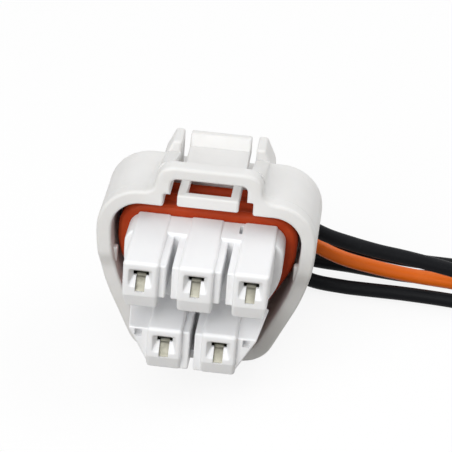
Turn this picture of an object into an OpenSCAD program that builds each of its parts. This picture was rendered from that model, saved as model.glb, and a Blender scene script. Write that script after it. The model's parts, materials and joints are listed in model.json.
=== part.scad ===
// Sealed five-way wiring connector: three contacts over two, with a short five-wire pigtail.
// X runs across the mating face, Y from the mating face to the wires, Z up.
// The origin is under the middle of the connector, on the surface that it stands on.
// "Depth" is the distance behind the mating face, which is the front of the towers.

/* [Contacts] */
// Distance between neighbouring contacts in a row
pitch = 6.8; // [6.4:0.1:8]
// Distance between the two rows
row_gap = 9.05; // [8.6:0.05:11]
// Width of the slot that takes a mating blade
slot_w = 1.95; // [1.7:0.05:2.4]
// Height of that slot
slot_h = 0.7; // [0.5:0.05:1]
// Width of the relief groove under the slot
groove_w = 1.2; // [0.8:0.05:1.5]
// Drop of the relief groove below the slot
groove_h = 1.8; // [1.4:0.1:2.4]
// Width of the lead-in mouth at the front
mouth_w = 3.1; // [2.7:0.1:3.6]
// Rise of the mouth above the slot
mouth_up = 0.7; // [0.4:0.05:1]
// Drop of the mouth below the slot
mouth_down = 1.2; // [0.6:0.1:1.6]
// Depth of the lead-in mouth
mouth_d = 1; // [0.6:0.1:1.4]

/* [Towers] */
// Width of a tower
tower_w = 4.4; // [4:0.1:5]
// Height of a tower above its slot's top edge
tower_up = 1.64; // [1.4:0.02:2.2]
// Drop of an upper tower below its slot's top edge
upper_drop = 4.9; // [4.2:0.1:5.4]
// Drop of a lower tower below its slot's top edge
lower_drop = 4.35; // [4.1:0.05:5]
// Thickness of the side ribs on the towers
rib_t = 0.72; // [0.4:0.02:0.9]
// Distance that the ribs sit behind the mating face
rib_setback = 0.8; // [0.4:0.1:1.4]
// Distance of the ribs' tops below the towers' tops
rib_top_drop = 0.55; // [0.3:0.05:1]
// Drop of the ribs below the slot's top edge
rib_drop = 3.45; // [2:0.05:4]
// Height of the bevel under a tower's nose
nose_h = 1.9; // [1:0.1:2.4]
// Depth of that bevel
nose_d = 0.7; // [0.4:0.1:1.2]
// Radius along a tower's top edges
tower_r = 0.4; // [0.1:0.05:0.5]

/* [Front holder] */
// Length of the front holder, from the mating face to the ring seal
holder_len = 13.2; // [12:0.1:16]
// Length of the collar that joins the towers
collar_len = 4.6; // [3.6:0.1:6]
// Collar width beyond the outer towers
collar_margin = 1.05; // [0.9:0.05:1.6]
// Collar top below the towers' tops
collar_drop = 0.35; // [0.2:0.05:0.6]
// Drop of the collar's upright sides below the upper slots
collar_side = 4.1; // [3.4:0.1:4.8]
// Lean of the holder's lower flanks, degrees from upright
holder_angle = 28; // [24:0.5:30]
// Corner radius of the collar's shoulders
collar_r = 2; // [1.4:0.1:2.4]
// Radius where the collar's sides turn into the flanks
collar_waist_r = 8; // [3:0.5:9]
// Corner radius of the collar's feet
collar_foot_r = 0.6; // [0.5:0.1:1.6]
// Depth of the open lane between the lower towers
lane_d = 3.6; // [2:0.1:6]
// Thickness of the web under the lane behind that
lane_web = 1.2; // [0.8:0.1:2]
// Width of the notch in the top of each lower shoulder
notch_w = 0.9; // [0.6:0.1:1.1]
// Height of that notch
notch_h = 1.2; // [0.8:0.1:1.4]
// Depth of that notch
notch_d = 0.5; // [0.3:0.1:1]
// Distance of the notch from its tower's side
notch_gap = 0.6; // [0.4:0.05:0.7]
// Width of the sprue slot beside the last upper tower
sprue_w = 0.4; // [0.3:0.05:0.6]
// Length of that slot
sprue_len = 2; // [1.4:0.1:2.4]
// Distance of that slot behind the collar's front
sprue_set = 1.8; // [0.8:0.1:2]

/* [Ring seal] */
// Length of the ring seal
seal_len = 7.2; // [5:0.1:7.5]
// Distance that the holder's collar laps over the seal
seal_lip = 0.4; // [0.2:0.05:0.6]
// Height of the seal's body beyond the collar
seal_body = 0.85; // [0.5:0.05:1]
// Height of the seal's ribs above its body
seal_rib_h = 0.6; // [0.2:0.05:0.7]
// Number of ribs on the ring seal
seal_ribs = 3; // [2:1:4]
// Length of one rib at its root
seal_rib_len = 1.2; // [0.8:0.05:1.3]

/* [Hood] */
// Distance that the hood's rim stands ahead of the holder's back end
rim_lap = 2.4; // [1.6:0.1:3.6]
// Room behind the ring seal inside the hood
seal_room = 0.45; // [0.3:0.05:1]
// Thickness of the hood's wall
hood_wall = 1.9; // [1.5:0.1:2.3]
// Thickness of the hood's rear wall
rear_wall = 1.8; // [1.2:0.1:2.4]
// Space beside the collar for the mating shroud
side_gap = 2.05; // [1.9:0.05:3]
// Space above the towers for the mating shroud
top_gap = 2.2; // [2:0.1:3]
// Space under the lower towers
low_gap = 3.3; // [2.4:0.1:4]
// Drop of the hood's upright sides below the upper slots
hood_side = 3.9; // [3:0.1:5]
// Lean of the hood's lower flanks, degrees from upright
hood_angle = 21.6; // [18:0.2:24]
// Outer corner radius of the hood's shoulders
shoulder_r = 5.6; // [4:0.1:6.5]
// Outer radius where the sides turn into the flanks
waist_r = 9; // [4:0.5:12]
// Outer corner radius of the hood's feet
foot_r = 4.4; // [3.5:0.1:6]
// Drop of the step in the rim below the waist
step_drop = 1.4; // [0.8:0.1:2]
// Distance that the lower rim steps back there
rim_step = 0.8; // [0.4:0.1:1.4]
// Distance that the lower rim slants back from the step to the foot
rim_slant = 0.7; // [0.3:0.1:2]
// Height of the guide keys inside the hood, above that step
guide_h = 2.2; // [1.2:0.1:3]
// Distance that the guide keys stand in from the wall
guide_in = 1; // [0.6:0.05:1.1]
// Distance of the guide keys behind the rim
guide_set = 0.3; // [0.2:0.1:0.6]
// Length of the guide keys
guide_len = 1.9; // [1.2:0.1:2]

/* [Bridge over the lock arm] */
// Width of the channel under the bridge
channel_w = 9.7; // [9.2:0.1:11]
// Height of the channel above the hood's inner roof
channel_h = 3.95; // [3.6:0.05:5]
// Extra half width of the channel's lower step
step_w = 0.8; // [0.4:0.1:1.2]
// Height of that step above the hood's inner roof
step_h = 1.75; // [1:0.05:2]
// Thickness of the bridge
bridge_wall = 1.7; // [1.2:0.1:2.2]
// Thickness of the channel's side walls
bridge_side = 1.9; // [1.4:0.1:2.4]
// Length of the bridge along the arm
bridge_len = 2.3; // [1.6:0.1:4]
// Radius of the bridge's upper corners
bridge_r = 2.2; // [1.2:0.1:2.2]
// Radius of the fillet at the bridge's feet
bridge_foot_r = 1.5; // [0.6:0.1:1.5]

/* [Lock arm] */
// Width of the lock arm's catch bar
arm_w = 7.8; // [6.8:0.1:8.2]
// Width of the catch window
window_w = 5.5; // [4.6:0.1:5.9]
// Thickness of the arm
arm_t = 1.2; // [0.9:0.1:1.5]
// Height of the arm's top above the hood's inner roof
arm_rise = 2.15; // [2:0.05:2.5]
// Distance that the catch bar stands ahead of the rim
bar_ahead = 0.5; // [0:0.1:0.8]
// Thickness of the catch bar along the arm
bar_t = 1.2; // [0.9:0.1:1.6]
// Height of the catch bar
bar_h = 1.65; // [1.4:0.05:2]
// Radius along the catch bar's front edge
bar_r = 0.5; // [0.2:0.1:0.8]
// Length of the catch window
window_len = 7.2; // [5:0.1:7.6]
// Length of the webs that carry the arm
web_len = 1.8; // [1.2:0.1:2.4]
// Distance of the webs behind the rim
web_set = 5.8; // [5:0.1:6.4]
// Width of the press pad
pad_w = 7.6; // [6.6:0.1:8]
// Height of the press pad above the arm
pad_h = 1.5; // [1:0.1:2.4]
// Length of the press pad
pad_len = 2; // [1.4:0.1:2.6]
// Radius along the press pad's upper edges
pad_r = 0.5; // [0.2:0.1:0.8]
// Distance of the press pad behind the hood
pad_set = 1.7; // [1.2:0.1:2.6]
// Thickness of the guard ears beside the pad
ear_t = 1; // [0.8:0.1:1.4]
// Height of the guard ears above the arm
ear_h = 1.4; // [1:0.1:2.4]
// Length of the guard ears behind the hood
ear_len = 4; // [3:0.1:5]
// Outward spread of the ears' buttresses
ear_spread = 1.4; // [0.8:0.1:1.8]
// Radius along the ears' upper edges
ear_r = 0.3; // [0.1:0.05:0.4]

/* [Rear barrel] */
// Length of the barrel behind the hood
barrel_len = 5.8; // [5:0.1:10]
// Diameter of the bores for the wire seals
bore_d = 5.2; // [4.8:0.1:5.4]
// Wall round the outer bores
barrel_wall = 1.3; // [1:0.1:1.6]
// Depth of the bores from the back
bore_len = 8.1; // [7.8:0.1:9]
// Corner radius of the barrel's shoulders
barrel_r = 3; // [2:0.1:3.8]
// Width of the tongue that locates the front holder
tongue_w = 9; // [7:0.1:11]
// Thickness of that tongue
tongue_t = 2.2; // [1.4:0.1:2.6]
// Length of that tongue
tongue_len = 3.6; // [2.4:0.1:3.8]
// Height of the snap ridges on the tongue
snap_h = 0.3; // [0.15:0.05:0.4]
// Length of the snap ridges
snap_len = 0.7; // [0.4:0.05:1]

/* [Terminals] */
// Width of a terminal's contact box
term_w = 3; // [2.6:0.1:3.2]
// Height of the contact box
term_h = 3.2; // [2.8:0.1:3.4]
// Length of the contact box
term_len = 7.4; // [6:0.1:8]
// Thickness of the terminal's sheet
sheet_t = 0.3; // [0.2:0.05:0.4]
// Depth of the contact box's front end
term_depth = 2.4; // [2.2:0.1:2.8]
// Roof of a terminal cavity above the slot's top edge
cavity_up = 0.3; // [0.2:0.05:0.5]
// Clearance round the terminals
term_clear = 0.1; // [0.05:0.05:0.15]
// Length of the conductor crimp
crimp_len = 3.4; // [2.4:0.1:4]
// Length of the insulation crimp
grip_len = 2; // [1.4:0.1:2.4]
// Gap between the box, the crimps and the wire's cut end
crimp_gap = 1.3; // [1:0.1:1.6]

/* [Wire seals and wires] */
// Diameter of a wire over its insulation
wire_d = 2; // [1.6:0.05:2.1]
// Diameter of the bare conductor
core_d = 1.2; // [0.9:0.05:1.3]
// Length of a wire seal
plug_len = 6.8; // [5.5:0.1:7]
// Distance of a wire seal inside the back of the barrel
plug_set = 0.6; // [0.4:0.1:1]
// Depth of the grooves between a wire seal's ribs
plug_groove = 0.5; // [0.3:0.05:0.7]
// Number of ribs on a wire seal
plug_ribs = 3; // [2:1:4]
// Clearance between pieces that seat in each other
fit = 0.05; // [0.03:0.01:0.1]

/* [Hidden] */

// Overshoot of a cut past the face that it opens
past = 1;
// Overlap that joins solids of one moulding
bond = 0.3;
// Steps along a rounded corner
steps = 9;
$fn = 48;

// Depths behind the mating face
rim_depth = holder_len - rim_lap;
seal_back = holder_len + fit + seal_len;
land_back = seal_back + fit;
hood_back = seal_back + seal_room + rear_wall;
overall_len = hood_back + barrel_len;
collar_front = holder_len - collar_len;
arm_front = rim_depth - bar_ahead;
window_back = arm_front + bar_t + window_len;
pad_front = hood_back + pad_set;
arm_back = pad_front + pad_len;

// Heights above the surface
slot_z2 = hood_wall + low_gap + lower_drop;
slot_z1 = slot_z2 + row_gap;
collar_top = slot_z1 + tower_up - collar_drop;
collar_low = slot_z2 - lower_drop;
collar_waist = slot_z1 - collar_side;
roof_in = slot_z1 + tower_up + top_gap;
roof_out = roof_in + hood_wall;
channel_top = roof_in + channel_h;
bridge_top = channel_top + bridge_wall;
arm_top = roof_in + arm_rise;
hood_waist = slot_z1 - hood_side;
step_z = hood_waist - step_drop;

// Half widths
collar_half = pitch + tower_w / 2 + collar_margin;
hood_half_in = collar_half + side_gap;
hood_half_out = hood_half_in + hood_wall;
bridge_half = channel_w / 2 + bridge_side;
rib_half = tower_w / 2 + rib_t;
lane_half = pitch / 2 - rib_half;

// Terminal cavities and wire axes
cavity_w = term_w + 2 * term_clear;
cavity_h = term_h + 2 * term_clear;
axis_drop = cavity_h / 2 - cavity_up;
cavity_front = term_depth - term_clear;
crimp_depth = term_depth + term_len + crimp_gap;
strip_depth = crimp_depth + crimp_len + crimp_gap / 2;
grip_depth = strip_depth + crimp_gap / 2;
plug_depth = overall_len - plug_set - plug_len;

// Contact places: across, height of the slot's top edge, drop of the tower
PLACES = [
    [-pitch, slot_z1, upper_drop], [0, slot_z1, upper_drop], [pitch, slot_z1, upper_drop],
    [-pitch / 2, slot_z2, lower_drop], [pitch / 2, slot_z2, lower_drop]
];
WIRE_COLOURS = ["black", "orangered", "black", "black", "black"];

// Wire routes behind the barrel, each from its bore to its cut end
ROUTES = [
    [[-6.5, 18, 16.9], [-4.6, 21.8, 15.6], [-0.6, 24.6, 13.2], [4.6, 25.9, 10.3], [9.6, 25.4, 7.8],
     [14, 24.5, 5.6], [18.6, 24.5, 4.3], [25.2, 25, 3], [33, 26.2, 2.1], [41, 27.4, 1.4],
     [49, 28.2, 1.05], [58, 28.7, 1.05], [67, 29, 1.05]],
    [[0.1, 17.6, 16.9], [1, 20.6, 15.6], [3.4, 22.6, 13], [6.6, 23, 10], [10, 22.2, 7.4], [14, 20.9, 5.6],
     [17.2, 20.8, 4.4], [20.5, 20.8, 3.7], [26, 20.9, 2.85], [33, 21.2, 2.2], [41, 21.6, 1.4],
     [50, 21.6, 1.05], [59, 21.3, 1.05], [68, 21, 1.05]],
    [[6.9, 17.4, 16.7], [7.5, 19.4, 14.6], [8.9, 20, 12], [11.4, 19.5, 10], [14.6, 18.9, 8.8], [18, 18.75, 8],
     [22, 18.75, 7.2], [26, 18.7, 6.7], [33, 18.6, 5.5], [41, 18.2, 3.8], [49, 17.6, 2.1],
     [57, 17.2, 1.2], [65, 17, 1.05], [72, 17, 1.05]],
    [[-3, 18.4, 7.8], [-0.4, 21.4, 6.6], [4, 22.9, 4.8], [8.8, 23.3, 3.1], [13.2, 23.3, 2.2],
     [18.3, 23.3, 1.9], [26, 23.4, 1.3], [34, 24.2, 1.05], [43, 24.6, 1.05], [52, 24.8, 1.05],
     [61, 24.8, 1.05], [70, 24.6, 1.05]],
    [[3.6, 17, 7.7], [5.2, 19, 6.2], [8.6, 19.6, 3.6], [12.6, 19.1, 1.5], [17.8, 18.7, 1.05],
     [26, 18.6, 1.05], [33, 18.1, 1.05], [41, 16.8, 1.05], [49, 14.9, 1.05], [57, 13, 1.05], [65, 11.4, 1.05]]
];
// Sides of a wire's tube
WIRE_SIDES = 8;

// Direction of a vector
function unit(v) = v / norm(v);

// Points of an arc of radius r that rounds corner b between a and c
function corner(a, b, c, r) =
    let (u = unit(a - b))
    let (w = unit(c - b))
    let (half = acos(u * w) / 2)
    let (centre = b + unit(u + w) * r / sin(half))
    let (p = b + u * r / tan(half) - centre)
    let (q = b + w * r / tan(half) - centre)
    let (from = atan2(p.y, p.x))
    let (swing = atan2(q.y, q.x) - from)
    let (turn = swing > 180 ? swing - 360 : swing < -180 ? swing + 360 : swing)
    [for (i = [0 : steps]) centre + r * [cos(from + turn * i / steps), sin(from + turn * i / steps)]];

// Outline through corners [x, z, radius], each rounded by its own radius
function rounded(pts) = [
    for (i = [0 : len(pts) - 1])
        let (n = len(pts))
        let (a = pts[(i + n - 1) % n])
        let (b = pts[i])
        let (c = pts[(i + 1) % n])
        each b.z == 0 ? [[b.x, b.y]] : corner([a.x, a.y], [b.x, b.y], [c.x, c.y], b.z)
];

// The same corners, followed by their mirror images from right to left
function both_sides(pts) = concat(pts, [for (i = [len(pts) - 1 : -1 : 0]) [-pts[i].x, pts[i].y, pts[i].z]]);

// Section with rounded shoulders, upright sides and flanks that lean in to a narrow foot
function body_outline(half, top, waist, low, lean, r_top, r_waist, r_low) =
    let (foot = half - (waist - low) * tan(lean))
    let (room = (top - waist - r_top) / tan(lean / 2))
    rounded(both_sides([[half, top, r_top], [half, waist, min(r_waist, room)], [foot, low, r_low]]));

// The collar's outline, grown by d on every side
function collar_outline(d) = body_outline(
    collar_half + d, collar_top + d, collar_waist, collar_low - d,
    holder_angle, collar_r + d, collar_waist_r, collar_foot_r + max(d, 0)
);

// Extrudes a section that is drawn across X and Z, between two depths
module slab(from, to) {
    translate([0, to - overall_len / 2, 0])
        rotate([90, 0, 0])
            linear_extrude(to - from)
                children();
}

// Box between two values of X, depth and Z
module block(x, depth, z) {
    translate([x[0], depth[0] - overall_len / 2, z[0]])
        cube([x[1] - x[0], depth[1] - depth[0], z[1] - z[0]]);
}

// Extrudes a side view, drawn across depth and Z, from X = -half to X = half
module side_slab(half, pts) {
    translate([half, -overall_len / 2, 0])
        rotate([90, 0, -90])
            linear_extrude(2 * half)
                polygon([for (p = pts) [-p.x, p.y]]);
}

// Cylinder along Y between two depths, on the wire axis of a contact place
module along(place, from, to, d) {
    translate([place.x, from - overall_len / 2, place.y - axis_drop])
        rotate([-90, 0, 0])
            cylinder(h = to - from, d = d);
}

// Section of the hood's outside, without the bridge
module hood_section() {
    polygon(body_outline(hood_half_out, roof_out, hood_waist, 0, hood_angle, shoulder_r, waist_r, foot_r));
}

// Section of the space inside the hood
module hood_space() {
    polygon(body_outline(
        hood_half_in, roof_in, hood_waist, hood_wall, hood_angle,
        shoulder_r - hood_wall, waist_r - hood_wall, foot_r - hood_wall
    ));
}

// Section of the bridge and the channel walls, with filleted feet
module bridge_section() {
    fillet = min(bridge_foot_r, bridge_top - roof_out - bridge_r);
    polygon(rounded(both_sides([
        [bridge_half, bridge_top, bridge_r],
        [bridge_half, roof_out, fillet],
        [bridge_half + fillet, roof_out, 0],
        [bridge_half + fillet, roof_out - bond, 0]
    ])));
}

// Section of the stepped channel under the bridge
module channel_section() {
    polygon(rounded(both_sides([
        [channel_w / 2, channel_top, step_w],
        [channel_w / 2, roof_in + step_h, 0],
        [channel_w / 2 + step_w, roof_in + step_h, 0],
        [channel_w / 2 + step_w, roof_in - bond, 0]
    ])));
}

// Hood with its bridge, open at the front, with a slanted lower rim and a slot for the arm at the back
module hood() {
    difference() {
        union() {
            slab(rim_depth, hood_back) hood_section();
            slab(rim_depth, hood_back) bridge_section();
        }
        slab(rim_depth - past, hood_back - rear_wall) hood_space();
        slab(rim_depth - past, hood_back - rear_wall) channel_section();
        // Channel walls fall away behind the bridge
        side_slab(hood_half_out + past, [
            [rim_depth + bridge_len, bridge_top + past], [rim_depth + bridge_len, bridge_top],
            [hood_back, roof_out], [hood_back + past, roof_out], [hood_back + past, bridge_top + past]
        ]);
        block([-channel_w / 2, channel_w / 2], [rim_depth + bridge_len, hood_back + past],
            [arm_top - arm_t - bond, bridge_top + past]);
        // Lower rim steps back under the waist and slants to the foot
        side_slab(hood_half_out + past, [
            [rim_depth - past, step_z], [rim_depth + rim_step, step_z],
            [rim_depth + rim_step + rim_slant, -past], [rim_depth - past, -past]
        ]);
    }
}

// Short guide keys on the inside of the hood's walls, ahead of the ring seal
module guide_keys() {
    front = rim_depth + guide_set;
    for (side = [-1, 1])
        intersection() {
            block([side * hood_half_in - guide_in, side * hood_half_in + guide_in],
                [front, front + guide_len], [step_z, step_z + guide_h]);
            slab(rim_depth, hood_back) hood_section();
        }
}

// Core that carries the ring seal, and the barrel behind it
module core() {
    slab(holder_len + fit, hood_back) polygon(collar_outline(-seal_lip));
    slab(land_back, overall_len)
        polygon(body_outline(
            pitch + bore_d / 2 + barrel_wall,
            slot_z1 - axis_drop + bore_d / 2 + barrel_wall,
            slot_z1 - axis_drop - barrel_wall,
            slot_z2 - axis_drop - bore_d / 2 - barrel_wall,
            hood_angle, barrel_r, barrel_r, barrel_r
        ));
    slab(hood_back - rear_wall, hood_back)
        intersection() {
            hood_section();
            translate([-hood_half_out, 0]) square([2 * hood_half_out, arm_top - arm_t - bond]);
        }
}

// Middle height between the two rows of cavities, where the holder is located
tongue_z = (slot_z1 + cavity_up - cavity_h + slot_z2 + cavity_up) / 2;

// Tongue with snap ridges, grown by a clearance for the slot in the front holder
module tongue(grow) {
    front = holder_len - tongue_len - grow;
    snap = holder_len - tongue_len / 2;
    half_t = tongue_t / 2 + grow;
    block([-tongue_w / 2 - grow, tongue_w / 2 + grow], [front, holder_len + bond],
        [tongue_z - half_t, tongue_z + half_t]);
    block([-tongue_w / 4 - grow, tongue_w / 4 + grow],
        [snap - snap_len / 2 - grow, snap + snap_len / 2 + grow],
        [tongue_z - half_t - snap_h, tongue_z + half_t + snap_h]);
}

// Lock arm: catch bar, two legs round a window, carrying webs and a raised press pad
module lock_arm() {
    arm_low = arm_top - arm_t;
    web_front = rim_depth + web_set;
    web_reach = channel_w / 2 + step_w + bond;
    side_slab(arm_w / 2, rounded([
        [arm_front, arm_top - bar_h, 0], [arm_front, arm_top, bar_r],
        [arm_front + bar_t, arm_top, 0], [arm_front + bar_t, arm_top - bar_h, 0]
    ]));
    difference() {
        union() {
            block([-arm_w / 2, arm_w / 2], [arm_front + bar_t - bond, pad_front + bond], [arm_low, arm_top]);
            block([-web_reach, web_reach], [web_front, web_front + web_len], [arm_low, arm_top - bond]);
        }
        block([-window_w / 2, window_w / 2], [arm_front + bar_t, window_back],
            [arm_low - past, arm_top + past]);
    }
    side_slab(pad_w / 2, rounded([
        [pad_front, arm_low, 0], [pad_front, arm_top + pad_h, pad_r],
        [arm_back, arm_top + pad_h, pad_r], [arm_back, arm_low, 0]
    ]));
}

// Guard ears with buttresses on their outer sides
module ears() {
    inner = channel_w / 2;
    low = slot_z1 - axis_drop + bore_d / 2;
    for (side = [-1, 1])
        slab(hood_back - bond, hood_back + ear_len)
            polygon(rounded([for (p = [
                [inner, low, 0], [inner, arm_top + ear_h, ear_r], [inner + ear_t, arm_top + ear_h, ear_r],
                [inner + ear_t + ear_spread / 2, arm_top + ear_h / 3, 2 * ear_r],
                [inner + ear_t + ear_spread, arm_top - arm_t, 2 * ear_r],
                [inner + ear_t + ear_spread, low, 0]
            ]) [side * p.x, p.y, p.z]]));
}

// One-piece housing
module housing() {
    color("white")
        difference() {
            union() {
                hood();
                guide_keys();
                core();
                tongue(0);
                lock_arm();
                ears();
            }
            for (place = PLACES) {
                along(place, overall_len - bore_len, overall_len + past, bore_d);
                terminal_cavity(place, holder_len - past, overall_len - bore_len + bond);
            }
        }
}

// Straight cavity for a terminal between two depths
module terminal_cavity(place, from, to) {
    roof = place.y + cavity_up;
    block([place.x - cavity_w / 2, place.x + cavity_w / 2], [from, to], [roof - cavity_h, roof]);
}

// Upright tower with rounded top edges
module tower(place) {
    top = place.y + tower_up;
    low = place.y - place.z;
    half = tower_w / 2;
    slab(0, holder_len)
        translate([place.x, 0])
            polygon(rounded([[-half, low, 0], [half, low, 0], [half, top, tower_r], [-half, top, tower_r]]));
}

// Upper towers, whose outer sides lean in at the bottom as the collar does
module upper_towers() {
    intersection() {
        for (i = [0 : 2])
            tower(PLACES[i]);
        slab(0, holder_len)
            polygon(body_outline(
                collar_half - collar_margin, slot_z1 + tower_up, collar_waist, collar_low,
                holder_angle, tower_r, collar_waist_r, collar_foot_r
            ));
    }
}

// Rib on the side of an upper tower that faces its neighbour
module tower_rib(place, side) {
    root = place.x + side * (tower_w / 2 - bond);
    tip = place.x + side * rib_half;
    block([min(root, tip), max(root, tip)], [rib_setback, holder_len],
        [place.y - rib_drop, place.y + tower_up - rib_top_drop]);
}

// Wedge under a row of noses
module nose_bevel(low) {
    side_slab(collar_half + past, [
        [-past, low + nose_h], [0, low + nose_h], [nose_d, low], [nose_d, low - past], [-past, low - past]
    ]);
}

// Lead-in mouth that narrows from the front face to the slot
module mouth(place) {
    y0 = -overall_len / 2;
    z = place.y;
    w = mouth_w / 2;
    s = slot_w / 2;
    ring = [[-w, y0, z - slot_h - mouth_down], [w, y0, z - slot_h - mouth_down], [w, y0, z + mouth_up],
        [-w, y0, z + mouth_up]];
    deep = [[-s, y0 + mouth_d, z - slot_h], [s, y0 + mouth_d, z - slot_h], [s, y0 + mouth_d, z],
        [-s, y0 + mouth_d, z]];
    ahead = [for (p = ring) p - [0, past, 0]];
    translate([place.x, 0, 0])
        polyhedron(
            points = concat(ahead, ring, deep),
            faces = concat(
                [[3, 2, 1, 0], [8, 9, 10, 11]],
                [for (i = [0 : 3]) [i, (i + 1) % 4, 4 + (i + 1) % 4, 4 + i]],
                [for (i = [0 : 3]) [4 + i, 4 + (i + 1) % 4, 8 + (i + 1) % 4, 8 + i]]
            ),
            convexity = 4
        );
}

// Lower nose: both lower towers stand out of one block with leaning flanks and notched shoulders
module lower_nose() {
    top = slot_z2 + tower_up - rib_top_drop;
    difference() {
        intersection() {
            slab(0, holder_len) polygon(collar_outline(0));
            union() {
                block([-collar_half, collar_half], [rib_setback, holder_len], [collar_low - past, top]);
                tower(PLACES[3]);
                tower(PLACES[4]);
            }
        }
        for (side = [-1, 1]) {
            near = side * (pitch / 2 + tower_w / 2 + notch_gap);
            block([min(near, near + side * notch_w), max(near, near + side * notch_w)],
                [rib_setback - past, rib_setback + notch_d], [top - notch_h, top + past]);
        }
        // Lane between the lower towers, open at the bottom in front of a web
        block([-lane_half, lane_half], [-past, collar_front],
            [collar_low + lane_web, slot_z2 + tower_up + past]);
        block([-lane_half, lane_half], [-past, lane_d], [collar_low - past, slot_z2]);
    }
}

// Front holder with five towers, a collar at the back and a slot for the core's tongue
module front_holder() {
    color("whitesmoke")
        difference() {
            union() {
                upper_towers();
                tower_rib(PLACES[0], 1);
                tower_rib(PLACES[1], -1);
                tower_rib(PLACES[1], 1);
                tower_rib(PLACES[2], -1);
                slab(collar_front, holder_len) polygon(collar_outline(0));
                lower_nose();
            }
            nose_bevel(slot_z1 - upper_drop);
            nose_bevel(collar_low);
            for (place = PLACES) {
                mouth(place);
                block([place.x - slot_w / 2, place.x + slot_w / 2], [mouth_d - bond, cavity_front + bond],
                    [place.y - slot_h, place.y]);
                block([place.x - groove_w / 2, place.x + groove_w / 2], [-past, cavity_front + bond],
                    [place.y - slot_h - groove_h, place.y - slot_h / 2]);
                terminal_cavity(place, cavity_front, holder_len + past);
            }
            // Thin slot beside the last upper tower
            block([pitch - tower_w / 2 - sprue_w, pitch - tower_w / 2],
                [collar_front + sprue_set, collar_front + sprue_set + sprue_len],
                [collar_top - tower_up, collar_top + past]);
            tongue(fit);
        }
}

// Ring seal with square ribs, round the core and behind the holder's collar
module ring_seal() {
    front = holder_len + fit;
    rib_step = (seal_len - seal_rib_len) / (seal_ribs - 1);
    color("orangered")
        difference() {
            union() {
                slab(front, seal_back) polygon(collar_outline(seal_body));
                for (i = [0 : seal_ribs - 1])
                    slab(front + i * rib_step, front + i * rib_step + seal_rib_len)
                        polygon(collar_outline(seal_body + seal_rib_h));
            }
            slab(front - past, seal_back + past) polygon(collar_outline(fit - seal_lip));
        }
}

// Stamped female terminal: hollow contact box with a spring leaf, then two crimps on a strip
module terminal(place) {
    roof = place.y + cavity_up - term_clear;
    floor = roof - term_h;
    box_back = term_depth + term_len;
    box_middle = term_depth + term_len / 2;
    leaf_top = roof - 2 * slot_h - sheet_t;
    half = term_w / 2;
    strip_top = place.y - axis_drop - wire_d / 2 - fit;
    color("silver")
        translate([place.x, 0, 0]) {
            difference() {
                block([-half, half], [term_depth, box_back], [floor, roof]);
                block([sheet_t - half, half - sheet_t], [term_depth - past, box_back + past],
                    [floor + sheet_t, roof - sheet_t]);
            }
            // Spring leaf that rises from the floor towards the blade
            side_slab(half - 2 * sheet_t, [
                [term_depth + sheet_t, floor],
                [box_middle, leaf_top], [box_back - sheet_t, floor],
                [box_back - 3 * sheet_t, floor], [box_middle, leaf_top - sheet_t],
                [term_depth + 3 * sheet_t, floor]
            ]);
            difference() {
                union() {
                    block([-half / 2, half / 2], [box_back - bond, grip_depth + grip_len],
                        [floor, strip_top]);
                    crimp(place.y, crimp_depth, crimp_len, core_d + 2 * fit + 4 * sheet_t);
                    crimp(place.y, grip_depth, grip_len, wire_d + 2 * fit + 2 * sheet_t);
                }
                crimp(place.y, crimp_depth - past, crimp_len + 2 * past, core_d + 2 * fit);
                crimp(place.y, strip_depth - fit, grip_len + crimp_gap + past, wire_d + 2 * fit);
            }
        }
}

// Round length of a crimp on the wire's axis
module crimp(slot_z, from, length, d) {
    along([0, slot_z], from, from + length, d);
}

// Silicone bung round a wire, with rounded ribs that fill the bore
module wire_seal(place) {
    r_in = wire_d / 2 + fit;
    r_out = bore_d / 2 - fit;
    r_low = r_out - plug_groove;
    waves = plug_ribs * steps;
    edge = [for (i = [0 : waves])
        let (turn = 360 * i * plug_ribs / waves)
        [r_low + plug_groove * (1 - cos(turn)) / 2, i * plug_len / waves]];
    color("orangered")
        translate([place.x, plug_depth - overall_len / 2, place.y - axis_drop])
            rotate([-90, 0, 0])
                rotate_extrude()
                    polygon(concat([[r_in, 0]], edge, [[r_in, plug_len]]));
}

// Stripped end of the conductor, in its crimp
module conductor(place) {
    color("peru")
        along(place, crimp_depth - crimp_gap / 2, strip_depth, core_d);
}

// Ring of points round a wire at p, square to direction t
function wire_ring(p, t) =
    let (side = unit(cross(t, [0, 0, 1])))
    let (up = cross(side, t))
    [for (k = [0 : WIRE_SIDES - 1])
        p + wire_d / 2 * (cos(360 * k / WIRE_SIDES) * side + sin(360 * k / WIRE_SIDES) * up)];

// Insulated wire: a tube along its cavity, through its seal and along its route
module wire(index) {
    place = PLACES[index];
    z = place.y - axis_drop;
    start = [place.x, strip_depth + fit - overall_len / 2, z];
    mouth_end = [place.x, overall_len / 2, z];
    path = concat([start, mouth_end], ROUTES[index]);
    last = len(path) - 1;
    rings = [for (i = [0 : last])
        let (back = i == 0 ? path[1] - path[0] : path[i] - path[i - 1])
        let (ahead = i == last ? back : path[i + 1] - path[i])
        let (t = i == 1 ? [0, 1, 0] : unit(unit(back) + unit(ahead)))
        wire_ring(path[i], t)];
    color(WIRE_COLOURS[index])
        polyhedron(
            points = [for (ring = rings) each ring],
            faces = concat(
                [[for (k = [WIRE_SIDES - 1 : -1 : 0]) k]],
                [[for (k = [0 : WIRE_SIDES - 1]) last * WIRE_SIDES + k]],
                [for (i = [0 : last - 1], k = [0 : WIRE_SIDES - 1])
                    let (n = (k + 1) % WIRE_SIDES)
                    let (near = i * WIRE_SIDES)
                    let (far = near + WIRE_SIDES)
                    [near + k, near + n, far + n, far + k]]
            ),
            convexity = 10
        );
}

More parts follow.
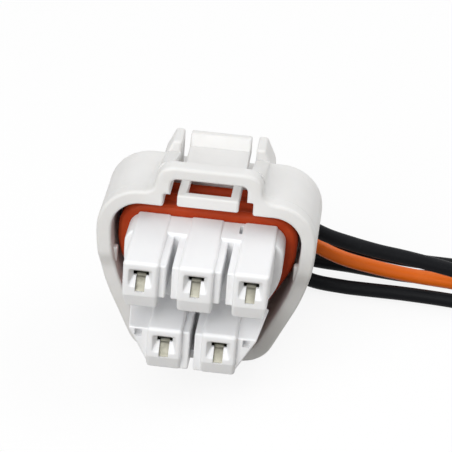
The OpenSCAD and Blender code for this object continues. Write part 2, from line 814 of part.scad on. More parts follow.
housing();
front_holder();
ring_seal();
terminal(PLACES[0]);  // terminal_1
terminal(PLACES[1]);  // terminal_2
terminal(PLACES[2]);  // terminal_3
terminal(PLACES[3]);  // terminal_4
terminal(PLACES[4]);  // terminal_5
wire_seal(PLACES[0]);  // wire_seal_1
wire_seal(PLACES[1]);  // wire_seal_2
wire_seal(PLACES[2]);  // wire_seal_3
wire_seal(PLACES[3]);  // wire_seal_4
wire_seal(PLACES[4]);  // wire_seal_5
conductor(PLACES[0]);  // conductor_1
conductor(PLACES[1]);  // conductor_2
conductor(PLACES[2]);  // conductor_3
conductor(PLACES[3]);  // conductor_4
conductor(PLACES[4]);  // conductor_5
wire(0);  // wire_1
wire(1);  // wire_2
wire(2);  // wire_3
wire(3);  // wire_4
wire(4);  // wire_5
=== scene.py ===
# Sealed five-way wiring connector with a short pigtail, dressed for a studio picture.
# Sizes are in millimetres, and MM turns them into the frame's metres where a mesh is written.
# Depth is counted from the mating face, at the front of the towers, towards the wires.
import json
import math

import bmesh
import bpy
from mathutils import Matrix, Vector

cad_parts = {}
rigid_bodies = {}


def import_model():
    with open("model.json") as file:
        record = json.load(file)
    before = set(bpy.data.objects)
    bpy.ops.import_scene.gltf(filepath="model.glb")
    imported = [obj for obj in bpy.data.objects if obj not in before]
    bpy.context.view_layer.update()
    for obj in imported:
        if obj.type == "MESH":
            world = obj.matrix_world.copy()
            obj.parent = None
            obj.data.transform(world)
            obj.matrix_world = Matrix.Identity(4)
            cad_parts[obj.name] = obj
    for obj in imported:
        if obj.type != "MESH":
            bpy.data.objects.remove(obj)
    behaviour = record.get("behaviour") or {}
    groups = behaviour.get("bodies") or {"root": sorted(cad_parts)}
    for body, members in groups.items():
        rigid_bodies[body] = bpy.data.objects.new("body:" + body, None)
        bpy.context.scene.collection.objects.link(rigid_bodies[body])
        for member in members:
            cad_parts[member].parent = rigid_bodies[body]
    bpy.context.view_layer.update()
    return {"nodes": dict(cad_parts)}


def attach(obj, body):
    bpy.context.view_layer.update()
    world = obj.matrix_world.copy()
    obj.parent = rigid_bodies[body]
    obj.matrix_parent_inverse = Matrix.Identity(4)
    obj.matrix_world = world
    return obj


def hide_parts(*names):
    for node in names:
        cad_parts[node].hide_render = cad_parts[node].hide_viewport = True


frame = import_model()
scene = bpy.context.scene
scene.view_settings.view_transform = "Standard"
MM = 0.001

# ---- Camera
# A long lens in front of the mating face, above it and a little to its right,
# with a slight roll. The picture is square.
LOOK_AT = Vector((3.23, -14.25, 26.67)) * MM
DISTANCE = 0.25869
SENSOR, FOCAL_PX, PICTURE_PX = 36, 2155.73, 452
turn, dip, roll = math.radians(4.11), math.radians(28.71), math.radians(4.25)
ahead = Vector((-math.sin(turn) * math.cos(dip), math.cos(turn) * math.cos(dip), -math.sin(dip)))
right = Vector((math.cos(turn), math.sin(turn), 0))
above = right.cross(ahead)
camera = bpy.data.objects.new("camera", bpy.data.cameras.new("camera"))
scene.collection.objects.link(camera)
camera.matrix_world = Matrix((
    right * math.cos(roll) + above * math.sin(roll),
    above * math.cos(roll) - right * math.sin(roll),
    -ahead,
)).transposed().to_4x4()
camera.location = LOOK_AT - ahead * DISTANCE
camera.data.lens = SENSOR * FOCAL_PX / PICTURE_PX
camera.data.clip_start = 0.01
scene.camera = camera

# ---- Wires
# Five leads of stranded copper in thin extruded insulation, four black and one orange.
# Each is crimped in its terminal, leaves the back through its own seal, turns down to the
# bench, runs off to the right and ends in a plain cut.
WIRE_R = 1.0
CORE_R = 0.6
CORE_GAP = 0.03
STRAND_R, STRAND_STEP = CORE_R / 5.1, 2.05
CUT_LIP, CUT_DEPTH = 0.06, 0.5
LYING_Z = 1.03
WIRE_SIDES, STRAND_SIDES = 18, 8
UV_PER_M = 10
CRIMP_Y = 0.95
BACK_Y = 14.25
UPPER_AXIS, LOWER_AXIS = 17.2, 8.15
PITCH = 6.8
wire_routes = {
    "wire_1": ((-PITCH, UPPER_AXIS), [
        (-6.5, 18, 16.9), (-4.6, 21.8, 15.6), (-0.6, 24.6, 13.2), (4.6, 25.9, 10.3), (9.6, 25.4, 7.8),
        (14, 24.5, 5.6), (18.6, 24.5, 4.3), (25.2, 25, 3), (33, 26.2, 2.1), (41, 27.4, 1.4),
        (49, 28.2, 1.05), (58, 28.7, 1.05), (67, 29, 1.05)]),
    "wire_2": ((0, UPPER_AXIS), [
        (0.1, 17.6, 16.9), (1, 20.6, 15.6), (3.4, 22.6, 13), (6.6, 23, 10), (10, 22.2, 7.4), (14, 20.9, 5.6),
        (17.2, 20.8, 4.4), (20.5, 20.8, 3.7), (26, 20.9, 2.85), (33, 21.2, 2.2), (41, 21.6, 1.4),
        (50, 21.6, 1.05), (59, 21.3, 1.05), (68, 21, 1.05)]),
    "wire_3": ((PITCH, UPPER_AXIS), [
        (6.9, 17.4, 16.7), (7.5, 19.4, 14.6), (8.9, 20, 12), (11.4, 19.5, 10), (14.6, 18.9, 8.8),
        (18, 18.75, 8), (22, 18.75, 7.2), (26, 18.7, 6.7), (33, 18.6, 5.5), (41, 18.2, 3.8), (49, 17.6, 2.1),
        (57, 17.2, 1.2), (65, 17, 1.05), (72, 17, 1.05)]),
    "wire_4": ((-PITCH / 2, LOWER_AXIS), [
        (-3, 18.4, 7.8), (-0.4, 21.4, 6.6), (4, 22.9, 4.8), (8.8, 23.3, 3.1), (13.2, 23.3, 2.2),
        (18.3, 23.3, 1.9), (26, 23.4, 1.3), (34, 24.2, 1.05), (43, 24.6, 1.05), (52, 24.8, 1.05),
        (61, 24.8, 1.05), (70, 24.6, 1.05)]),
    "wire_5": ((PITCH / 2, LOWER_AXIS), [
        (3.6, 17, 7.7), (5.2, 19, 6.2), (8.6, 19.6, 3.6), (12.6, 19.1, 1.5), (17.8, 18.7, 1.05),
        (26, 18.6, 1.05), (33, 18.1, 1.05), (41, 16.8, 1.05), (49, 14.9, 1.05), (57, 13, 1.05),
        (65, 11.4, 1.05)]),
}


def wire_line(points, spacing=0.7):
    """A smooth line through the points, which never dips below the height of a wire that lies flat."""
    knots = [Vector(p) for p in points]
    knots = [2 * knots[0] - knots[1]] + knots + [2 * knots[-1] - knots[-2]]
    line = []
    for a, b, c, d in zip(knots, knots[1:], knots[2:], knots[3:]):
        t1 = (b - a).length ** 0.5
        t2 = t1 + (c - b).length ** 0.5
        t3 = t2 + (d - c).length ** 0.5
        count = max(2, round((c - b).length / spacing))
        for i in range(count):
            t = t1 + (t2 - t1) * i / count
            ab = a.lerp(b, t / t1)
            bc = b.lerp(c, (t - t1) / (t2 - t1))
            cd = c.lerp(d, (t - t2) / (t3 - t2))
            p = ab.lerp(bc, t / t2).lerp(bc.lerp(cd, (t - t1) / (t3 - t1)), (t - t1) / (t2 - t1))
            p.z = max(p.z, LYING_Z)
            line.append(p)
    return line + [knots[-2].copy()]


def wire_frames(line):
    """Two directions square to the line at each of its points, carried along without twisting."""
    frames = []
    side = Vector((1, 0, 0))
    for i in range(len(line)):
        along = (line[min(i + 1, len(line) - 1)] - line[max(i - 1, 0)]).normalized()
        side = (side - along * side.dot(along)).normalized()
        frames.append((along, side, along.cross(side)))
    return frames


def mesh_piece(name, bm, material, sharp=35):
    """Writes a bmesh as a piece, with smooth shading except across edges sharper than this angle."""
    bmesh.ops.recalc_face_normals(bm, faces=bm.faces)
    for face in bm.faces:
        face.smooth = True
    for edge in bm.edges:
        edge.smooth = len(edge.link_faces) == 2 and edge.calc_face_angle(0) < math.radians(sharp)
    mesh = bpy.data.meshes.new(name)
    bm.to_mesh(mesh)
    bm.free()
    mesh.materials.append(material)
    piece = bpy.data.objects.new(name, mesh)
    scene.collection.objects.link(piece)
    return piece


def new_group(name, inputs, outputs):
    """An empty shader group with float or colour sockets, and its two end nodes."""
    group = bpy.data.node_groups.new(name, "ShaderNodeTree")
    for way, sockets in (("INPUT", inputs), ("OUTPUT", outputs)):
        for label, start in sockets.items():
            kind = "NodeSocketColor" if isinstance(start, tuple) else "NodeSocketFloat"
            socket = group.interface.new_socket(label, in_out=way, socket_type=kind)
            if way == "INPUT":
                socket.default_value = start
    return group, group.nodes.new("NodeGroupInput"), group.nodes.new("NodeGroupOutput")


def add(tree, kind, **values):
    """Adds a node. A value is set on an input of that name, or linked where it is a socket."""
    node = tree.nodes.new(kind)
    for label, value in values.items():
        if hasattr(node, label):
            setattr(node, label, value)
            continue
        key = int(label[1:]) if label[0] == "i" and label[1:].isdigit() else label.replace("_", " ")
        if isinstance(value, bpy.types.NodeSocket):
            tree.links.new(value, node.inputs[key])
        else:
            node.inputs[key].default_value = value
    return node


def tint(tree, factor, first, second):
    """Mixes two colours by a factor and gives the result's socket."""
    node = tree.nodes.new("ShaderNodeMix")
    node.data_type = "RGBA"
    for socket, value in zip((node.inputs[0], node.inputs[6], node.inputs[7]), (factor, first, second)):
        if isinstance(value, bpy.types.NodeSocket):
            tree.links.new(value, socket)
        else:
            socket.default_value = value
    return node.outputs[2]


def spread(tree, value, low, high, to_low, to_high):
    """Carries a value from one range to another and gives the result's socket."""
    return add(tree, "ShaderNodeMapRange", Value=value, From_Min=low, From_Max=high,
               To_Min=to_low, To_Max=to_high).outputs[0]


def finish(name, group, bump, distance, fixed, **values):
    """A material whose colour, roughness and height come from a shared group."""
    material = bpy.data.materials.new(name)
    material.use_nodes = True
    tree = material.node_tree
    surface = tree.nodes["Principled BSDF"]
    marks = tree.nodes.new("ShaderNodeGroup")
    marks.node_tree = group
    for label, value in values.items():
        marks.inputs[label.replace("_", " ")].default_value = value
    relief = add(tree, "ShaderNodeBump", Strength=bump, Distance=distance, Height=marks.outputs["Height"])
    tree.links.new(marks.outputs["Colour"], surface.inputs["Base Color"])
    tree.links.new(marks.outputs["Roughness"], surface.inputs["Roughness"])
    tree.links.new(relief.outputs[0], surface.inputs["Normal"])
    for label, value in fixed.items():
        surface.inputs[label].default_value = value
    return material


# Insulation: fine draw lines along the wire, a soft cloud of handling marks and a slight orange-peel.
insulation, given, result = new_group(
    "extruded_insulation",
    {"Colour": (0.1, 0.1, 0.1, 1), "Worn": (0.2, 0.2, 0.2, 1), "Gloss": 0.4, "Wear": 0.3},
    {"Colour": (0, 0, 0, 1), "Roughness": 0.0, "Height": 0.0})
lay = add(insulation, "ShaderNodeUVMap").outputs[0]
drawn = add(insulation, "ShaderNodeMapping", Vector=lay, Scale=(9, 90, 1)).outputs[0]
lines = add(insulation, "ShaderNodeTexNoise", Vector=drawn, Scale=4.0, Detail=3.0).outputs[0]
where = add(insulation, "ShaderNodeTexCoord").outputs["Object"]
cloud = add(insulation, "ShaderNodeTexNoise", Vector=where, Scale=420.0, Detail=4.0, Roughness=0.6).outputs[0]
peel = add(insulation, "ShaderNodeTexNoise", Vector=where, Scale=3200.0, Detail=2.0).outputs[0]
rubbed = spread(insulation, cloud, 0.5, 0.78, 0.0, 1.0)
worn = add(insulation, "ShaderNodeMath", operation="MULTIPLY", i0=rubbed, i1=given.outputs["Wear"]).outputs[0]
insulation.links.new(
    tint(insulation, worn, given.outputs["Colour"], given.outputs["Worn"]), result.inputs["Colour"])
dull = spread(insulation, cloud, 0.3, 0.7, -0.06, 0.1)
insulation.links.new(
    add(insulation, "ShaderNodeMath", operation="ADD", i0=dull, i1=given.outputs["Gloss"]).outputs[0],
    result.inputs["Roughness"])
insulation.links.new(
    add(insulation, "ShaderNodeMath", operation="MULTIPLY_ADD", i0=peel, i1=0.5, i2=lines).outputs[0],
    result.inputs["Height"])
black_wire = finish("wire_black_insulation", insulation, 0.12, 0.0002, {"Specular IOR Level": 0.09},
                    Colour=(0.0055, 0.006, 0.0075, 1), Worn=(0.014, 0.015, 0.017, 1), Gloss=0.42, Wear=0.5)
orange_wire = finish("wire_orange_insulation", insulation, 0.12, 0.0002, {"Specular IOR Level": 0.25},
                     Colour=(0.95, 0.175, 0.01, 1), Worn=(0.98, 0.22, 0.03, 1), Gloss=0.45, Wear=0.6)

# Bare metal: drawn or rolled sheen with dull patches.
bare_metal, given, result = new_group(
    "bare_metal",
    {"Colour": (0.7, 0.7, 0.7, 1), "Dulled": (0.4, 0.4, 0.4, 1), "Gloss": 0.25},
    {"Colour": (0, 0, 0, 1), "Roughness": 0.0, "Height": 0.0})
where = add(bare_metal, "ShaderNodeTexCoord").outputs["Object"]
patch = add(bare_metal, "ShaderNodeTexNoise", Vector=where, Scale=900.0, Detail=4.0).outputs[0]
rolled = add(bare_metal, "ShaderNodeMapping", Vector=where, Scale=(9000, 700, 9000)).outputs[0]
scratch = add(bare_metal, "ShaderNodeTexNoise", Vector=rolled, Scale=1.0, Detail=2.0).outputs[0]
dulled = spread(bare_metal, patch, 0.42, 0.7, 0.0, 0.8)
bare_metal.links.new(
    tint(bare_metal, dulled, given.outputs["Colour"], given.outputs["Dulled"]), result.inputs["Colour"])
bare_metal.links.new(
    add(bare_metal, "ShaderNodeMath", operation="ADD", i0=spread(bare_metal, patch, 0.3, 0.7, -0.05, 0.14),
        i1=given.outputs["Gloss"]).outputs[0], result.inputs["Roughness"])
bare_metal.links.new(scratch, result.inputs["Height"])
copper = finish("conductor_bare_copper", bare_metal, 0.2, 0.00005, {"Metallic": 1.0},
                Colour=(0.83, 0.4, 0.22, 1), Dulled=(0.42, 0.17, 0.09, 1), Gloss=0.3)

for name, (place, route) in wire_routes.items():
    inside = [(place[0], y, place[1]) for y in (CRIMP_Y, 5.5, 9.5, 12.5, BACK_Y)]
    line = wire_line(inside + route)
    frames = wire_frames(line)
    end, (along, side, up) = line[-1], frames[-1]
    # The tube, then the cut: a softened lip and the hole that the strands fill
    rings = [(p, f, WIRE_R) for p, f in zip(line, frames)]
    rings[-1] = (end - along * CUT_LIP, frames[-1], WIRE_R)
    rings += [(end, frames[-1], WIRE_R - CUT_LIP), (end, frames[-1], CORE_R + CORE_GAP),
              (end - along * CUT_DEPTH, frames[-1], CORE_R + CORE_GAP)]
    bm = bmesh.new()
    uv = bm.loops.layers.uv.new("lay")
    loops = []
    travel = [0.0]
    for (p, *_), (q, *_) in zip(rings, rings[1:]):
        travel.append(travel[-1] + (q - p).length * MM)
    for p, (_, a, b), r in rings:
        turns = [math.tau * k / WIRE_SIDES for k in range(WIRE_SIDES)]
        loops.append([bm.verts.new((p + r * (math.cos(t) * a + math.sin(t) * b)) * MM) for t in turns])
    for i, (one, two) in enumerate(zip(loops, loops[1:])):
        for k in range(WIRE_SIDES):
            n = (k + 1) % WIRE_SIDES
            face = bm.faces.new((one[k], one[n], two[n], two[k]))
            for loop, (u, v) in zip(face.loops, ((k, i), (k + 1, i), (k + 1, i + 1), (k, i + 1))):
                loop[uv].uv = (u / WIRE_SIDES, travel[v] * UV_PER_M)
    bm.faces.new(loops[0])
    bm.faces.new(loops[-1])
    lead = mesh_piece(name + "_lead", bm, orange_wire if name == "wire_2" else black_wire)

    # Nineteen strands, twisted and sheared off level with the insulation
    bm = bmesh.new()
    for ring_r, count in ((0, 1), (STRAND_STEP * STRAND_R, 6), (2 * STRAND_STEP * STRAND_R, 12)):
        for k in range(count):
            t = math.tau * (k + 0.5 * (count == 12)) / count
            middle = ring_r * (math.cos(t) * side + math.sin(t) * up)
            turns = [math.tau * j / STRAND_SIDES for j in range(STRAND_SIDES)]
            strand = []
            for back, size in ((0.45, 1.0), (0.07, 1.0), (0.03, 0.75)):
                centre = end - along * back + middle
                strand.append([bm.verts.new(
                    (centre + STRAND_R * size * (math.cos(t) * side + math.sin(t) * up)) * MM) for t in turns])
            for one, two in zip(strand, strand[1:]):
                for j in range(STRAND_SIDES):
                    n = (j + 1) % STRAND_SIDES
                    bm.faces.new((one[j], one[n], two[n], two[j]))
            bm.faces.new(strand[0])
            bm.faces.new(strand[-1])
    strands = mesh_piece(name + "_strands", bm, copper)

    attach(lead, "root")
    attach(strands, "root")
    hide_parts(name)

# ---- Conductors
# The stripped end of each lead: bare copper strands, twisted and pressed together in the
# terminal's crimp. They lie hidden inside the housing.
for number in range(1, 6):
    frame["nodes"][f"conductor_{number}"].data.materials[0] = copper

# ---- Terminals
# Female contacts, stamped and folded from thin brass strip and tin plated, with a spring leaf
# inside the box. They snap into their cavities from the back and show through the blade slots.
# The tin's colour is painted dark, as shade: it is darker than bright tin plate, so the springs seen in the
# relief grooves look shaded.
tin = finish("terminal_tin_plate", bare_metal, 0.15, 0.00005, {"Metallic": 1.0},
             Colour=(0.29, 0.282, 0.235, 1), Dulled=(0.22, 0.213, 0.172, 1), Gloss=0.42)
UPPER_SLOT, LOWER_SLOT = 18.6, 9.55
contact_places = [
    (-PITCH, UPPER_SLOT), (0, UPPER_SLOT), (PITCH, UPPER_SLOT),
    (-PITCH / 2, LOWER_SLOT), (PITCH / 2, LOWER_SLOT)]
SPRING_LINE = [
    (0.3, -2.44), (0.42, -2.34), (1.14, -1.08), (1.34, -0.97), (1.48, -0.86),
    (1.62, -0.66), (1.82, -0.55), (2.1, -0.58), (3.4, -0.95), (6.1, -1.45)]
SPRING_HALF, SPRING_T = 0.575, 0.16
SPRING_SECTION = [
    (-SPRING_HALF, 0), (0, 0.04), (SPRING_HALF, 0), (SPRING_HALF, -SPRING_T), (-SPRING_HALF, -SPRING_T)]
for number, (x, slot_top) in enumerate(contact_places, start=1):
    frame["nodes"][f"terminal_{number}"].data.materials[0] = tin
    # Front arm of the contact spring: a bent strip that rises from the relief groove to a crest
    # behind the blade slot and falls away into the box
    bm = bmesh.new()
    loops = [[bm.verts.new(Vector((x + over, depth - BACK_Y, slot_top + height + lift)) * MM)
              for over, lift in SPRING_SECTION] for depth, height in SPRING_LINE]
    for one, two in zip(loops, loops[1:]):
        for k in range(len(SPRING_SECTION)):
            bm.faces.new((one[k - 1], one[k], two[k], two[k - 1]))
    bm.faces.new(loops[0])
    bm.faces.new(loops[-1])
    spring = mesh_piece(f"terminal_{number}_spring", bm, tin, sharp=60)
    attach(spring, "root")

# ---- Wire seals
# Ribbed bungs of orange-red silicone, moulded, one round each lead, pressed into the bores
# at the back of the housing.
silicone, given, result = new_group(
    "moulded_silicone",
    {"Colour": (0.4, 0.05, 0.02, 1), "Bloom": (0.5, 0.12, 0.06, 1), "Gloss": 0.45},
    {"Colour": (0, 0, 0, 1), "Roughness": 0.0, "Height": 0.0})
where = add(silicone, "ShaderNodeTexCoord").outputs["Object"]
dust = add(silicone, "ShaderNodeTexNoise", Vector=where, Scale=520.0, Detail=5.0, Roughness=0.65).outputs[0]
skin = add(silicone, "ShaderNodeTexNoise", Vector=where, Scale=4200.0, Detail=2.0).outputs[0]
bloomed = spread(silicone, dust, 0.45, 0.75, 0.0, 0.55)
silicone.links.new(
    tint(silicone, bloomed, given.outputs["Colour"], given.outputs["Bloom"]), result.inputs["Colour"])
silicone.links.new(
    add(silicone, "ShaderNodeMath", operation="ADD", i0=spread(silicone, dust, 0.3, 0.7, -0.08, 0.1),
        i1=given.outputs["Gloss"]).outputs[0], result.inputs["Roughness"])
silicone.links.new(skin, result.inputs["Height"])
bung_silicone = finish("wire_seal_silicone", silicone, 0.1, 0.0001, {"Specular IOR Level": 0.4},
                       Colour=(0.42, 0.052, 0.014, 1), Bloom=(0.5, 0.1, 0.04, 1), Gloss=0.42)
for number in range(1, 6):
    frame["nodes"][f"wire_seal_{number}"].data.materials[0] = bung_silicone

# ---- Housing
# One moulding of white glass-filled plastic: the hood with its bridge, the barrel with five bores,
# and the lock arm with its press pad between two guard ears. All its outer edges are softly rounded.
moulding, given, result = new_group(
    "moulded_plastic",
    {"Colour": (0.8, 0.8, 0.8, 1), "Shade": (0.7, 0.7, 0.7, 1), "Gloss": 0.4, "Cloud": 0.4},
    {"Colour": (0, 0, 0, 1), "Roughness": 0.0, "Height": 0.0})
where = add(moulding, "ShaderNodeTexCoord").outputs["Object"]
cloud = add(moulding, "ShaderNodeTexNoise", Vector=where, Scale=130.0, Detail=4.0, Roughness=0.55).outputs[0]
drawn = add(moulding, "ShaderNodeMapping", Vector=where, Scale=(700, 60, 700)).outputs[0]
flow = add(moulding, "ShaderNodeTexNoise", Vector=drawn, Scale=1.0, Detail=3.0).outputs[0]
grain = add(moulding, "ShaderNodeTexNoise", Vector=where, Scale=5200.0, Detail=2.0).outputs[0]
speck = add(moulding, "ShaderNodeTexNoise", Vector=where, Scale=1500.0, Detail=1.0).outputs[0]
tone = add(moulding, "ShaderNodeMath", operation="MULTIPLY", i0=spread(moulding, cloud, 0.35, 0.7, 0.0, 1.0),
           i1=given.outputs["Cloud"]).outputs[0]
clouded = tint(moulding, tone, given.outputs["Colour"], given.outputs["Shade"])
flecked = tint(moulding, spread(moulding, speck, 0.68, 0.8, 0.0, 0.35), clouded, given.outputs["Shade"])
moulding.links.new(flecked, result.inputs["Colour"])
moulding.links.new(
    add(moulding, "ShaderNodeMath", operation="ADD", i0=spread(moulding, flow, 0.3, 0.7, -0.07, 0.08),
        i1=given.outputs["Gloss"]).outputs[0], result.inputs["Roughness"])
moulding.links.new(
    add(moulding, "ShaderNodeMath", operation="MULTIPLY_ADD", i0=flow, i1=0.6, i2=grain).outputs[0],
    result.inputs["Height"])
housing_white = finish(
    "housing_white_plastic", moulding, 0.1, 0.00012,
    {"Specular IOR Level": 0.45, "Subsurface Weight": 0.12, "Subsurface Scale": 0.0006,
     "Subsurface Radius": (1.0, 0.85, 0.7)},
    Colour=(0.805, 0.8, 0.79, 1), Shade=(0.72, 0.715, 0.7, 1), Gloss=0.4, Cloud=0.5)


def corner_arc(a, b, c, r, steps):
    """Points of an arc of radius r that rounds corner b between a and c. One point where steps is 0."""
    if not steps:
        return [b.copy()]
    u, w = (a - b).normalized(), (c - b).normalized()
    half = math.acos(max(-1.0, min(1.0, u.dot(w)))) / 2
    middle = b + (u + w).normalized() * r / math.sin(half)
    start = b + u * r / math.tan(half) - middle
    finish_at = b + w * r / math.tan(half) - middle
    swing = start.angle_signed(finish_at)
    arc = []
    for i in range(steps + 1):
        t = -swing * i / steps
        arc.append(middle + Vector((start.x * math.cos(t) - start.y * math.sin(t),
                                    start.x * math.sin(t) + start.y * math.cos(t))))
    return arc


def outline(corners, inset=0.0):
    """Closed outline through corners (x, z, radius, steps), moved inwards by inset on every side."""
    points = [Vector(c[:2]) for c in corners]
    area = sum(a.x * b.y - b.x * a.y for a, b in zip(points, points[1:] + points[:1]))
    hand = 1 if area > 0 else -1
    moved = []
    for i, (*_, r, steps) in enumerate(corners):
        b = points[i]
        one = (b - points[i - 1]).normalized()
        two = (points[(i + 1) % len(points)] - b).normalized()
        in_one = Vector((-one.y, one.x)) * hand
        in_two = Vector((-two.y, two.x)) * hand
        convex = (one.x * two.y - one.y * two.x) * hand > 0
        moved.append((b + (in_one + in_two) * inset / (1 + in_one.dot(in_two)),
                      max(0.02, r - inset if convex else r + inset), steps))
    result_points = []
    for i, (b, r, steps) in enumerate(moved):
        result_points += corner_arc(moved[i - 1][0], b, moved[(i + 1) % len(moved)][0], r, steps)
    return result_points


def mirrored(half):
    """The corners of the right half, from the top down, followed by those of the left half."""
    return half + [(-x, z, r, steps) for x, z, r, steps in reversed(half)]


def across(points, depth):
    """Puts an outline that is drawn across X and Z at a depth."""
    return [Vector((p.x, depth - BACK_Y, p.y)) for p in points]


def rounding(r, steps=4):
    """Pairs of inset and depth round an edge of radius r, from the end face to the side."""
    turns = [math.pi / 2 * i / steps for i in range(steps + 1)]
    return [(r * (1 - math.sin(t)), r * (1 - math.cos(t))) for t in turns]


def loft(bm, rings, caps=True):
    """Skins rings of equal count, and either caps both ends or joins the last ring to the first."""
    loops = [[bm.verts.new(p * MM) for p in ring] for ring in rings]
    pairs = list(zip(loops, loops[1:])) + ([] if caps else [(loops[-1], loops[0])])
    for one, two in pairs:
        for k in range(len(one)):
            bm.faces.new((one[k - 1], one[k], two[k], two[k - 1]))
    if caps:
        bm.faces.new(loops[0])
        bm.faces.new(loops[-1])


def bar(corners, start, stop, first_r, last_r, lay=across):
    """A prism with rounded end edges. lay(points, t) puts its outline at t along it."""
    rings = [lay(outline(corners, d), start + t) for d, t in rounding(first_r)]
    rings += [lay(outline(corners, d), stop - t) for d, t in reversed(rounding(last_r))]
    bm = bmesh.new()
    loft(bm, rings)
    return bm


def sideways(points, t):
    """Puts an outline that is drawn across depth and Z at X = t."""
    return [Vector((t, p.x - BACK_Y, p.y)) for p in points]


def scratch_piece(bm, group):
    """Writes a bmesh as a working piece in a collection that a boolean uses up."""
    mesh = bpy.data.meshes.new("work")
    bmesh.ops.recalc_face_normals(bm, faces=bm.faces)
    bm.to_mesh(mesh)
    bm.free()
    group.objects.link(bpy.data.objects.new("work", mesh))


def moulded(name, solids, cuts, material, sharp=32):
    """Joins solids into one moulding, takes the cuts out of it and evens its shading."""
    joined, taken = bpy.data.collections.new("joined"), bpy.data.collections.new("taken")
    scene.collection.children.link(joined)
    scene.collection.children.link(taken)
    for bm in solids[1:]:
        scratch_piece(bm, joined)
    for bm in cuts:
        scratch_piece(bm, taken)
    body = mesh_piece(name, solids[0], material)
    for operation, group in (("UNION", joined), ("DIFFERENCE", taken)):
        step = body.modifiers.new(operation.lower(), "BOOLEAN")
        step.operation, step.solver = operation, "EXACT"
        step.operand_type, step.collection = "COLLECTION", group
        step.use_self = operation == "UNION"
    made = bpy.data.meshes.new_from_object(body.evaluated_get(bpy.context.evaluated_depsgraph_get()))
    body.modifiers.clear()
    body.data = made
    for group in (joined, taken):
        for work in list(group.objects):
            bpy.data.objects.remove(work)
        bpy.data.collections.remove(group)
    bm = bmesh.new()
    bm.from_mesh(made)
    bmesh.ops.remove_doubles(bm, verts=bm.verts, dist=2e-6)
    for face in bm.faces:
        face.smooth = True
        face.material_index = 0
    for edge in bm.edges:
        edge.smooth = len(edge.link_faces) == 2 and edge.calc_face_angle(0) < math.radians(sharp)
    bm.to_mesh(made)
    bm.free()
    made.materials.clear()
    made.materials.append(material)
    even = body.modifiers.new("even_shading", "WEIGHTED_NORMAL")
    even.keep_sharp = True
    even.weight = 90
    return body


# Depths of the rim, the bridge's back, the space's floor, the hood's back and the barrel's end
RIM, BRIDGE_BACK, FLOOR_IN, HOOD_BACK, END = 10.8, 13.1, 20.9, 22.7, 28.5
HOOD_HALF, SPACE_HALF, SPACE_LOW = 14.0, 12.1, 1.9
HOOD_LEAN = math.tan(math.radians(23.75))
WAIST, WAIST_IN = 13.1, 13.5
ROOF_OUT, ROOF_IN = 24.34, 22.44
CHANNEL_HALF, CHANNEL_TOP = 4.85, 26.39
LEDGE_HALF, LEDGE_TOP = 5.65, 24.19
BRIDGE_HALF, BRIDGE_TOP = 6.75, 28.09
ARM_TOP, ARM_LOW = 24.59, 23.39
# Corners from the top down, each with its radius and the steps of its arc
hood_side = [
    (HOOD_HALF, ROOF_OUT, 5.6, 10), (HOOD_HALF, WAIST, 26, 22), (HOOD_HALF - WAIST * HOOD_LEAN, 0, 4.4, 9)]
space_side = [
    (SPACE_HALF, ROOF_IN, 3.7, 10), (SPACE_HALF, WAIST_IN, 24, 22),
    (SPACE_HALF - (WAIST_IN - SPACE_LOW) * HOOD_LEAN, SPACE_LOW, 2.5, 9)]
step_side = [(CHANNEL_HALF, LEDGE_TOP, 0, 0), (LEDGE_HALF, LEDGE_TOP, 0.15, 2), (LEDGE_HALF, ROOF_IN, 0.3, 2)]
rim_outside = mirrored([(BRIDGE_HALF, BRIDGE_TOP, 2.2, 8), (BRIDGE_HALF, ROOF_OUT, 1.5, 6)] + hood_side)
rim_inside = mirrored([(CHANNEL_HALF, CHANNEL_TOP, 0.8, 8)] + step_side + space_side)
STEP_FROM, STEP_FALL, STEP_BACK = 15.2, 2.8, 0.8
SLANT_FROM, SLANT_FALL, SLANT_BACK = 13.3, 14.3, 0.7


def set_back(ring):
    """The rim steps back softly under the waist and slants further back towards the foot."""
    moved = []
    for p in ring:
        step = min(1.0, max(0.0, (STEP_FROM - p.z) / STEP_FALL))
        slant = max(0.0, SLANT_FROM - p.z) / SLANT_FALL
        moved.append(p + Vector((0, STEP_BACK * step * step * (3 - 2 * step) + SLANT_BACK * slant, 0)))
    return moved


# Rim with the bridge: one closed band, rounded at its front edges
rings = [set_back(across(outline(rim_outside, d), BRIDGE_BACK - t)) for d, t in rounding(0.4)]
rings += [set_back(across(outline(rim_outside, d), RIM + t)) for d, t in reversed(rounding(0.45))]
rings += [set_back(across(outline(rim_inside, -d), RIM + t)) for d, t in rounding(0.4)]
rings += [set_back(across(outline(rim_inside, -d), BRIDGE_BACK - t)) for d, t in reversed(rounding(0.3))]
rim = bmesh.new()
loft(rim, rings, caps=False)
WALL_TOP, WALL_FALL = 27.8, 3.36


def wall_side(depth):
    """Top of the channel's side wall, which falls away behind the bridge."""
    high = WALL_TOP - max(0.0, depth - BRIDGE_BACK) * WALL_FALL / (HOOD_BACK - BRIDGE_BACK)
    tall = high - ROOF_OUT
    return [(CHANNEL_HALF, high, min(0.3, 0.3 * tall), 3), (BRIDGE_HALF, high, min(1.3, 0.42 * tall), 6),
            (BRIDGE_HALF, ROOF_OUT, min(1.5, 0.5 * tall), 6)]


def trough(depth):
    """Section behind the bridge, where the channel is open at the top."""
    outside = mirrored(wall_side(depth) + hood_side)
    inside = [(-x, z, r, s) for x, z, r, s in step_side + space_side] + list(reversed(step_side + space_side))
    return outside + inside


shell = bmesh.new()
loft(shell, [across(outline(trough(d), 0.01), d) for d in (12.85, 15, 17, 19, FLOOR_IN + 0.3)])
SLOT_LOW = 23.09


def rear_plate(depth):
    """Section of the rear wall, with the slot that the lock arm passes through."""
    slot = [(-CHANNEL_HALF, SLOT_LOW, 0.2, 2), (CHANNEL_HALF, SLOT_LOW, 0.2, 2)]
    return mirrored(wall_side(depth) + hood_side) + slot


